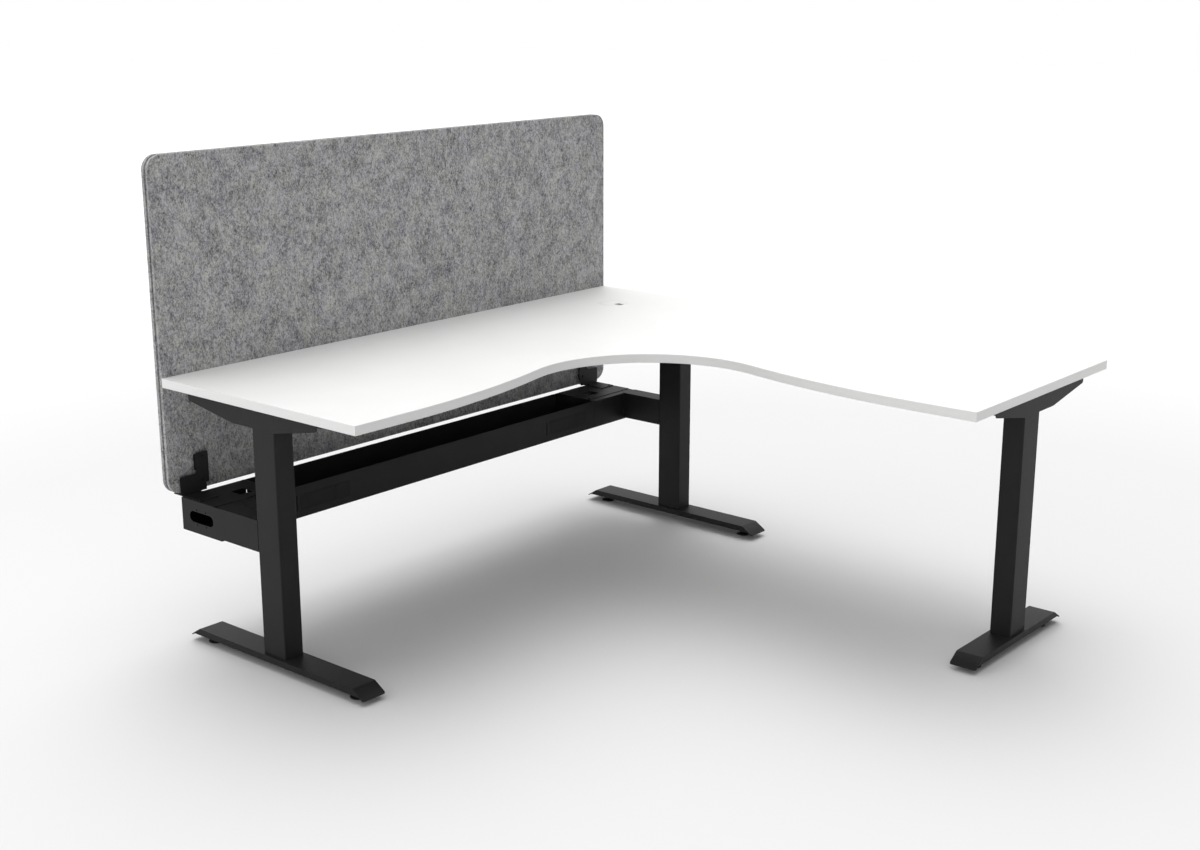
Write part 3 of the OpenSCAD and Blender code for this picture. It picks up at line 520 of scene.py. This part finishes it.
def revolve(name, profile, centre, steps):
    """Turns a profile of (radius, height) points in millimetres round the upright axis through centre."""
    centre = Vector(centre)
    start = Vector((profile[0][0] * MM, 0.0, profile[0][1] * MM))
    piece = first_point(name, centre + start)
    for (r0, z0), (r1, z1) in zip(profile, profile[1:]):
        draw_on(((r1 - r0) * MM, 0.0, (z1 - z0) * MM))
    bpy.ops.mesh.select_all(action="SELECT")
    bpy.ops.mesh.spin(steps=steps, angle=2 * math.pi, center=centre, axis=(0, 0, 1))
    bpy.ops.mesh.select_all(action="SELECT")
    bpy.ops.mesh.remove_doubles(threshold=0.003 * MM)
    bpy.ops.mesh.normals_make_consistent(inside=False)
    bpy.ops.object.mode_set(mode="OBJECT")
    return piece


def trim(piece, tool, operation):
    """Cuts a piece by another, keeps what they share, or makes them one."""
    boolean = piece.modifiers.new("trim", "BOOLEAN")
    boolean.operation = operation
    boolean.solver = "EXACT"
    boolean.object = tool
    apply_modifiers(piece)
    bpy.data.objects.remove(tool)


def drill(piece, start, end, radius, steps):
    """Drills a round hole from start to end."""
    start, end = Vector(start), Vector(end)
    only()
    bpy.ops.mesh.primitive_cylinder_add(vertices=steps, radius=radius * MM, depth=(end - start).length,
                                        location=(start + end) / 2,
                                        rotation=(end - start).to_track_quat("Z", "Y").to_euler())
    cutter = bpy.context.object
    apply_placement()
    trim(piece, cutter, "DIFFERENCE")


def join(name, pieces):
    """Makes pieces one object, on the last of them."""
    only(*pieces)
    if len(pieces) > 1:
        bpy.ops.object.join()
    piece = bpy.context.object
    piece.name = name
    return piece


def round_part(node):
    """The foot of a round part's axis, its radius, and the heights of its bottom and top in millimetres."""
    low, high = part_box(node)
    foot = Vector(((low.x + high.x) / 2, (low.y + high.y) / 2, 0))
    return foot, (high.x - low.x) / 2 / MM, low.z / MM, high.z / MM


def settle(piece, material, *nodes):
    """Coats a piece and lets it stand for its parts, on their body, and hides the parts."""
    coat(piece, material)
    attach(piece, body_of[nodes[0]])
    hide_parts(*nodes)


# Worktop

# Thickness of the edge band, the radius of its outer edges, and the gap that its glue fills
BAND = 2.0
BAND_EDGE = 1.0
GLUE_GAP = 0.02
BOARD_CHAMFER = 0.25
# Depth of the worktop at its free ends, and length of the straight run beside each
WING_DEPTH = 750.0
STRAIGHT = 175.0
# Radius of the hollow at the inner corner, and how far it cuts into the depth
INNER_RADIUS = 334.0
INNER_DIP = 79.0
# Steps of each outer arc; the inner one has twice as many
ARC_STEPS = 36

# Radii of the grommet's sleeve, of the lid's seat in it, and of the hole inside the ledge of that seat
SLEEVE_RADIUS = 42.1
SEAT_RADIUS = 40.1
LEDGE_RADIUS = 38.1
# Height of the sleeve's rim, and the gap between the sleeve and the board
RIM_DEPTH = 1.5
SLEEVE_GAP = 0.25


def top_outline(name, inset, height):
    """The worktop's outline, drawn in by an inset: straight runs, and three arcs at the inner corner."""
    low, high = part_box("edge_band")
    wing = (high.x - low.x) / MM
    ring = WING_DEPTH - INNER_DIP + INNER_RADIUS
    straight = wing - STRAIGHT
    outer = ((straight - ring) ** 2 + (ring - WING_DEPTH) ** 2 - INNER_RADIUS ** 2) / (2 * INNER_DIP)
    meet = math.atan2(WING_DEPTH - outer - ring, straight - ring)
    sweep = math.pi / 2 + meet

    def at(u, v):
        """The point that lies u along the one wing and v along the other from the desk's back corner."""
        return Vector((high.x - u * MM, high.y - v * MM, height * MM))

    depth = WING_DEPTH - inset
    far = wing - inset
    piece = first_point(name, at(inset, inset))
    draw_on(at(far, inset) - at(inset, inset))
    draw_on(at(far, depth) - at(far, inset))
    draw_on(at(straight, depth) - at(far, depth))
    turn_on(at(straight, WING_DEPTH - outer), sweep, ARC_STEPS)
    turn_on(at(ring, ring), -(2 * sweep + math.pi / 2), 2 * ARC_STEPS)
    turn_on(at(WING_DEPTH - outer, straight), sweep, ARC_STEPS)
    draw_on(at(depth, far) - at(depth, straight))
    draw_on(at(inset, far) - at(depth, far))
    bpy.ops.mesh.select_all(action="SELECT")
    bpy.ops.mesh.edge_face_add()
    bpy.ops.mesh.delete(type="ONLY_FACE")
    bpy.ops.object.mode_set(mode="OBJECT")
    return piece


def make_worktop():
    """The board, with its hole and rebate for the grommet and a hair's chamfer where the band meets it."""
    low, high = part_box("worktop")
    piece = top_outline("white_board", BAND, low.z / MM)
    only(piece)
    bpy.ops.object.mode_set(mode="EDIT")
    bpy.ops.mesh.select_all(action="SELECT")
    bpy.ops.mesh.edge_face_add()
    bpy.ops.mesh.extrude_region_move(TRANSFORM_OT_translate={"value": (0, 0, high.z - low.z)})
    bpy.ops.mesh.select_all(action="SELECT")
    bpy.ops.mesh.normals_make_consistent(inside=False)
    bpy.ops.object.mode_set(mode="OBJECT")
    foot, rim, _, _ = round_part("grommet_sleeve")
    over = (foot.x, foot.y, high.z + MM)
    drill(piece, (foot.x, foot.y, low.z - MM), over, SLEEVE_RADIUS + SLEEVE_GAP, FINE_STEPS)
    drill(piece, (foot.x, foot.y, high.z - RIM_DEPTH * MM), over, rim + SLEEVE_GAP, FINE_STEPS)
    round_edges(piece, BOARD_CHAMFER, 1, 60)
    settle(piece, board, "worktop")


def make_edge_band():
    """The plastic band glued round the board, its outer edges trimmed to a small radius."""
    low, high = (c.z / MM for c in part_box("edge_band"))
    back = BAND - GLUE_GAP
    # an edge's middle point lies about 0.3 of its radius in from the corner, on both sides
    part_way = 0.3 * BAND_EDGE
    profile = [(back, low), (BAND_EDGE, low), (part_way, low + part_way), (0.0, low + BAND_EDGE),
               (0.0, high - BAND_EDGE), (part_way, high - part_way), (BAND_EDGE, high), (back, high)]
    loops = [top_outline("band", inset, height) for inset, height in profile]
    count = len(loops[0].data.vertices)
    piece = join("abs_band", loops[1:] + loops[:1])
    for i in range(len(profile)):
        j = (i + 1) % len(profile)
        strip = [set(range(k * count, (k + 1) * count)) for k in (i, j)]
        # nothing is picked at first, and then the two loops of this strip
        pick_edges(piece, lambda at, way: False)
        bpy.ops.object.mode_set(mode="OBJECT")
        for edge in piece.data.edges:
            edge.select = any(set(edge.vertices) <= loop for loop in strip)
        bpy.ops.object.mode_set(mode="EDIT")
        if profile[i][1] == profile[j][1]:
            bpy.ops.mesh.fill()
        else:
            bpy.ops.mesh.bridge_edge_loops()
    bpy.ops.mesh.select_all(action="SELECT")
    bpy.ops.mesh.normals_make_consistent(inside=False)
    bpy.ops.object.mode_set(mode="OBJECT")
    smooth(piece, 50)
    settle(piece, edging, "edge_band")


# Cable grommet

# The lid's cable slot: half its width, its outer and inner end from the lid's centre, its corner radius
SLOT_HALF = 12
SLOT_ENDS = (-60, -14)
SLOT_CORNER = 4.0
# Radius of the lid's edges
LID_EDGE = 0.35


def make_grommet():
    """A moulded sleeve, let in flush, and its turning lid with the cable slot."""
    # the slot cuts the lid's rim, so the axis of both is the sleeve's
    foot, rim, bottom, top = round_part("grommet_sleeve")
    _, radius, seat, _ = round_part("grommet_lid")
    sleeve = revolve("grommet_sleeve_moulding", [
        (LEDGE_RADIUS, bottom + 0.4), (LEDGE_RADIUS + 0.4, bottom), (SLEEVE_RADIUS - 0.5, bottom),
        (SLEEVE_RADIUS, bottom + 0.5), (SLEEVE_RADIUS, top - RIM_DEPTH), (rim, top - RIM_DEPTH),
        (rim, top - 0.6), (rim - 0.2, top - 0.2), (rim - 0.7, top), (SEAT_RADIUS + 0.5, top),
        (SEAT_RADIUS + 0.15, top - 0.15), (SEAT_RADIUS, top - 0.5), (SEAT_RADIUS, seat),
        (LEDGE_RADIUS + 0.2, seat), (LEDGE_RADIUS, seat - 0.2), (LEDGE_RADIUS, bottom + 0.4)],
        foot, FINE_STEPS)
    smooth(sleeve, 50)
    settle(sleeve, white_plastic, "grommet_sleeve")
    lid = revolve("grommet_lid_moulding", [
        (0, seat), (radius - 0.3, seat), (radius, seat + 0.3), (radius, top - 0.6),
        (radius - 0.2, top - 0.2), (radius - 0.6, top), (0, top)], foot, FINE_STEPS)
    outer, inner = SLOT_ENDS
    slot = block("slot", foot + Vector((-SLOT_HALF, outer, seat - 1)) * MM,
                 foot + Vector((SLOT_HALF, inner, top + 1)) * MM)
    pick_edges(slot, lambda at, way: abs(way.z) > 0.9)
    bevel_picked(SLOT_CORNER, 6)
    trim(lid, slot, "DIFFERENCE")
    round_edges(lid, LID_EDGE, 2)
    settle(lid, white_plastic, "grommet_lid")


# Screen

# Radii of the corners of the felt panels and of their core, and of their soft cut edges
PANEL_CORNER = 40.0
CORE_CORNER = 34.0
PANEL_SOFT = 1.4
CORE_SOFT = 0.5
SCREW_HOLE_RADIUS = 2.25


def felt_board(name, node, corner, soft):
    """A pressed felt board: round corners, and edges that the cut leaves slightly soft."""
    low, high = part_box(node)
    piece = block(name, low, high)
    pick_edges(piece, lambda at, way: abs(way.y) > 0.9)
    bevel_picked(corner, 16)
    faces = (low.y, high.y)
    pick_edges(piece, lambda at, way: abs(way.y) < 0.1
               and min(abs(at.y - y) for y in faces) < 0.1 * MM)
    bevel_picked(soft, 3)
    smooth(piece, 50)
    return piece


def make_screen():
    """Two felt panels on a core whose almost black felt is painted shade for the groove between them. The
    front one is drilled for the brackets' screws.
    """
    front = felt_board("front_felt_board", "screen_front_panel", PANEL_CORNER, PANEL_SOFT)
    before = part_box("screen_front_panel")[0].y - MM
    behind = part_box("screen_core")[0].y
    for low, high in loose_boxes("screen_screws"):
        middle = (low + high) / 2
        drill(front, (middle.x, before, middle.z), (middle.x, behind, middle.z),
              SCREW_HOLE_RADIUS, SHANK_STEPS)
    rear = felt_board("rear_felt_board", "screen_rear_panel", PANEL_CORNER, PANEL_SOFT)
    inner = felt_board("screen_core_board", "screen_core", CORE_CORNER, CORE_SOFT)
    settle(front, felt, "screen_front_panel")
    settle(rear, felt, "screen_rear_panel")
    # the core's almost black felt is painted shade in the groove between the panels
    settle(inner, core, "screen_core")


# Steel and moulded parts

# Radii of the rounded edges of steel parts, by how their names begin, and of plastic and rubber ones
STEEL_EDGES = {
    "foot_left": 1.6, "foot_corner": 1.6, "foot_right": 1.6, "top_support": 1.4, "column": 0.6,
    "crossbar": 1.0, "return_rail": 1.0, "side_arm": 1.2, "cable_tray": 0.5, "tray_end": 0.5,
    "tray_cover": 0.4, "screen_bracket": 0.6,
}
MOULDED_EDGE = 0.25
RUBBER_EDGE = 0.8


def make_steel():
    """Folded, welded and tubular steel, its edges rounded as cutting, folding and coating leave them."""
    for node in sorted(frame["nodes"]):
        for kind, width in STEEL_EDGES.items():
            if node.startswith(kind):
                piece = merged_copy(node, node + ".coated")
                round_edges(piece, width, 3)
                settle(piece, steel, node)


def make_trim():
    """Blanking plates, rubber pads and spacers."""
    for node in sorted(frame["nodes"]):
        if "blank" in node or node == "screen_spacers":
            piece = merged_copy(node, node + ".moulded")
            round_edges(piece, MOULDED_EDGE, 2)
            settle(piece, black_plastic, node)
    pads = merged_copy("screen_pads", "screen_pads.moulded")
    round_edges(pads, RUBBER_EDGE, 3)
    settle(pads, rubber, "screen_pads")


# Glides

# Radii of a stem over and under its thread, its pitch, and the height of the chamfer at its tip
STEM_RADIUS = 5.0
STEM_CORE = 4.3
STEM_PITCH = 1.5
STEM_CHAMFER = 0.8
# Height of the pad over the floor
PAD_HEIGHT = 8.0


def make_glides():
    """Nylon pads on threaded stems."""
    for node in sorted(n for n in frame["nodes"] if n.startswith("glide_")):
        foot, radius, _, top = round_part(node)
        pad = revolve(node + ".pad", [
            (0, 0), (radius - 1.6, 0), (radius - 0.6, 0.4), (radius, 1.2), (radius, 3.4),
            (radius - 0.5, 4.2), (radius - 1.6, 4.8), (10.6, PAD_HEIGHT - 0.3), (9.6, PAD_HEIGHT),
            (STEM_RADIUS, PAD_HEIGHT), (4.6, PAD_HEIGHT - 0.6), (0, PAD_HEIGHT - 0.6)], foot, PAD_STEPS)
        smooth(pad)
        settle(pad, black_plastic, node)
        turns = int((top - PAD_HEIGHT - 0.5) / STEM_PITCH)
        profile = [(0, PAD_HEIGHT - 1), (STEM_CORE, PAD_HEIGHT - 1)]
        for i in range(turns):
            z = PAD_HEIGHT + i * STEM_PITCH
            profile += [(STEM_CORE, z), (STEM_RADIUS, z + 0.6),
                        (STEM_RADIUS, z + 0.8), (STEM_CORE, z + 1.4)]
        profile += [(STEM_CORE, top - STEM_CHAMFER), (3.6, top), (0, top)]
        stem = revolve(node + ".stem", profile, foot, SHANK_STEPS)
        smooth(stem, 30)
        coat(stem, zinc)
        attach(stem, body_of[node])


# Fasteners

# Radius and height of a screw's head, radius, pitch and thread depth of its shank, and radius of its edges
SCREW_HEAD = (4.0, 2.5)
SCREW_RADIUS = 2.0
SCREW_PITCH = 1.0
SCREW_THREAD = 0.35
SCREW_EDGE = 0.08
# Half length, half width, depth and bevel of the cross recess in a screw's head
RECESS = (2.1, 0.5, 1.5, 0.35)
# Head, shank and edges of a bolt likewise, and the height of the washer face under its head
BOLT_HEAD = (6.5, 5.0)
BOLT_RADIUS = 4.0
BOLT_PITCH = 1.25
BOLT_THREAD = 0.6
BOLT_EDGE = 0.12
WASHER_FACE = 0.4


def loose_solids(node):
    """Copies of a part's separate solids, one object each."""
    probe = merged_copy(node, "probe")
    only(probe)
    bpy.ops.object.mode_set(mode="EDIT")
    bpy.ops.mesh.separate(type="LOOSE")
    bpy.ops.object.mode_set(mode="OBJECT")
    return [o for o in bpy.context.selected_objects if o.name.startswith("probe")]


def discard(pieces):
    """Deletes these objects."""
    only(*pieces)
    bpy.ops.object.delete()


def loose_boxes(node):
    """The box of each separate solid of a part, as its lowest and highest corners."""
    solids = loose_solids(node)
    boxes = []
    for solid in solids:
        axes = list(zip(*(v.co for v in solid.data.vertices)))
        boxes.append((Vector([min(a) for a in axes]), Vector([max(a) for a in axes])))
    discard(solids)
    return boxes


def fastener_places(node):
    """The end of each fastener's head, the way its shank points, and its whole length in millimetres."""
    solids = loose_solids(node)
    places = []
    for solid in solids:
        crown = max(solid.data.polygons, key=lambda face: face.area)
        end, way = crown.center.copy(), -crown.normal
        reach = max((v.co - end).dot(way) for v in solid.data.vertices)
        places.append((end, way, reach / MM))
    discard(solids)
    return places


def thread(radius, depth, pitch, start, end):
    """The profile of a thread's ridges along a shank, up to its chamfered tip."""
    profile = []
    height = start
    while height + pitch < end - depth:
        profile += [(radius - depth, height), (radius - depth, height + 0.15 * pitch),
                    (radius, height + 0.5 * pitch), (radius, height + 0.65 * pitch)]
        height += pitch
    return profile + [(radius - depth, height), (radius - depth, end - 0.8 * depth),
                      (radius - 1.6 * depth, end), (0, end)]


def pan_head_screw(name, length):
    """A pan-head screw with a cross recess. Its head's end lies at the origin and its shank points up."""
    radius, height = SCREW_HEAD
    profile = [(0, 0), (0.5 * radius, 0), (0.78 * radius, 0.1 * height), (0.94 * radius, 0.34 * height),
               (radius, 0.7 * height), (radius - 0.1, height), (SCREW_RADIUS, height)]
    profile += thread(SCREW_RADIUS, SCREW_THREAD, SCREW_PITCH, height + 0.3, length)
    piece = revolve(name, profile, (0, 0, 0), SHANK_STEPS)
    long, wide, deep, bevel = RECESS
    for x, y in ((long, wide), (wide, long)):
        arm = block("recess", Vector((-x, -y, -0.5)) * MM, Vector((x, y, deep)) * MM)
        pick_edges(arm, lambda at, way: abs(way.z) < 0.1 and at.z > (deep - 0.1) * MM)
        bevel_picked(bevel, 1)
        trim(piece, arm, "DIFFERENCE")
    round_edges(piece, SCREW_EDGE, 1)
    return piece


def hexagon_bolt(name, length):
    """A hexagon bolt with a chamfered head on a washer face. It lies as the screw does."""
    radius, height = BOLT_HEAD
    only()
    bpy.ops.mesh.primitive_cylinder_add(vertices=6, radius=radius * MM, depth=(height - WASHER_FACE) * MM,
                                        location=(0, 0, (height - WASHER_FACE) / 2 * MM))
    piece = bpy.context.object
    piece.name = name
    apply_placement()
    # half the width across the flats
    flat = radius * math.cos(math.pi / 6)
    dome = revolve("chamfer", [
        (0, 0), (flat - 0.5, 0), (radius + 0.1, 1.0), (radius + 0.1, height), (0, height)],
        (0, 0, 0), HEAD_STEPS)
    trim(piece, dome, "INTERSECT")
    washer = height - 2 * WASHER_FACE
    profile = [(0, washer), (flat - 0.2, washer), (flat - 0.2, height), (BOLT_RADIUS - BOLT_THREAD, height)]
    profile += thread(BOLT_RADIUS, BOLT_THREAD, BOLT_PITCH, height + 0.4, length)
    shank = revolve("shank", profile, (0, 0, 0), SHANK_STEPS)
    trim(piece, shank, "UNION")
    round_edges(piece, BOLT_EDGE, 1)
    return piece


def put_fasteners(node, model, material):
    """One fastener modelled for a part and copied to each of its places."""
    places = fastener_places(node)
    copies = []
    for length in sorted({round(place[2], 1) for place in places}):
        first = model(node + ".model", length)
        for end, way, reach in places:
            if round(reach, 1) == length:
                piece = first.copy()
                piece.data = first.data.copy()
                bpy.context.scene.collection.objects.link(piece)
                piece.location = end
                piece.rotation_euler = way.to_track_quat("Z", "Y").to_euler()
                copies.append(piece)
        discard([first])
    only(*copies)
    apply_placement()
    settle(join(node + ".modelled", copies), material, node)


def make_fasteners():
    """Bolts of the frame, bright screws under the top, and black ones where they show."""
    for node in ("support_bolts", "foot_bolts", "arm_bolts"):
        put_fasteners(node, hexagon_bolt, zinc)
    for node in ("worktop_screws", "rail_screws", "tray_screws"):
        put_fasteners(node, pan_head_screw, zinc)
    for node in ("cover_screws", "screen_screws"):
        put_fasteners(node, pan_head_screw, black_screws)


only()
put_camera()
bpy.context.scene.view_settings.view_transform = "Standard"
light_studio()
lay_floor()

steel = powder_coated_steel()
board = melamine_board()
# extruded ABS, satin and a shade whiter than the board
edging = moulded_plastic("abs_edge_band", "#F3F3F2", "#F6F6F5", 0.4, 3.0)
# moulded ABS, white with a soft sheen
white_plastic = moulded_plastic("white_abs", "#EDEDEC", "#F0F0EF", 0.38, 1.5)
# moulded nylon, black with a dull sheen
black_plastic = moulded_plastic("black_nylon", "#1A1A1B", "#1F1F20", 0.5, 1.5, 0.14)
# moulded rubber, black and matt
rubber = moulded_plastic("black_rubber", "#151515", "#1A1A1A", 0.8, 1.5, 0.1)
zinc = zinc_plated_steel()
black_screws = blackened_steel()
# fibres in many greys for the panels, and almost black felt for the core: painted shade for the shadow line
# in the groove between the panels
felt = pressed_felt("grey_felt", "#525255", "#9C9C9D", "#D0D0CE")
core = pressed_felt("core_shadow_felt", "#101011", "#202021", "#303031")

# Finishes by how a part's name begins, where the longest beginning counts. All other parts are coated steel.
finishes = {
    "worktop": board, "edge_band": edging, "grommet": white_plastic, "screen_front": felt,
    "screen_rear": felt, "screen_core": core, "screen_pads": rubber, "screen_spacers": black_plastic,
    "outlet_blank": black_plastic, "data_blank": black_plastic, "glide": black_plastic,
    "worktop_screws": zinc, "support_bolts": zinc, "foot_bolts": zinc, "arm_bolts": zinc,
    "rail_screws": zinc, "tray_screws": zinc, "screen_screws": black_screws, "cover_screws": black_screws,
}
for node, part in frame["nodes"].items():
    beginnings = [start for start in finishes if node.startswith(start)]
    coat(part, finishes[max(beginnings, key=len)] if beginnings else steel)

make_worktop()
make_edge_band()
make_grommet()
make_screen()
make_steel()
make_trim()
make_glides()
make_fasteners()
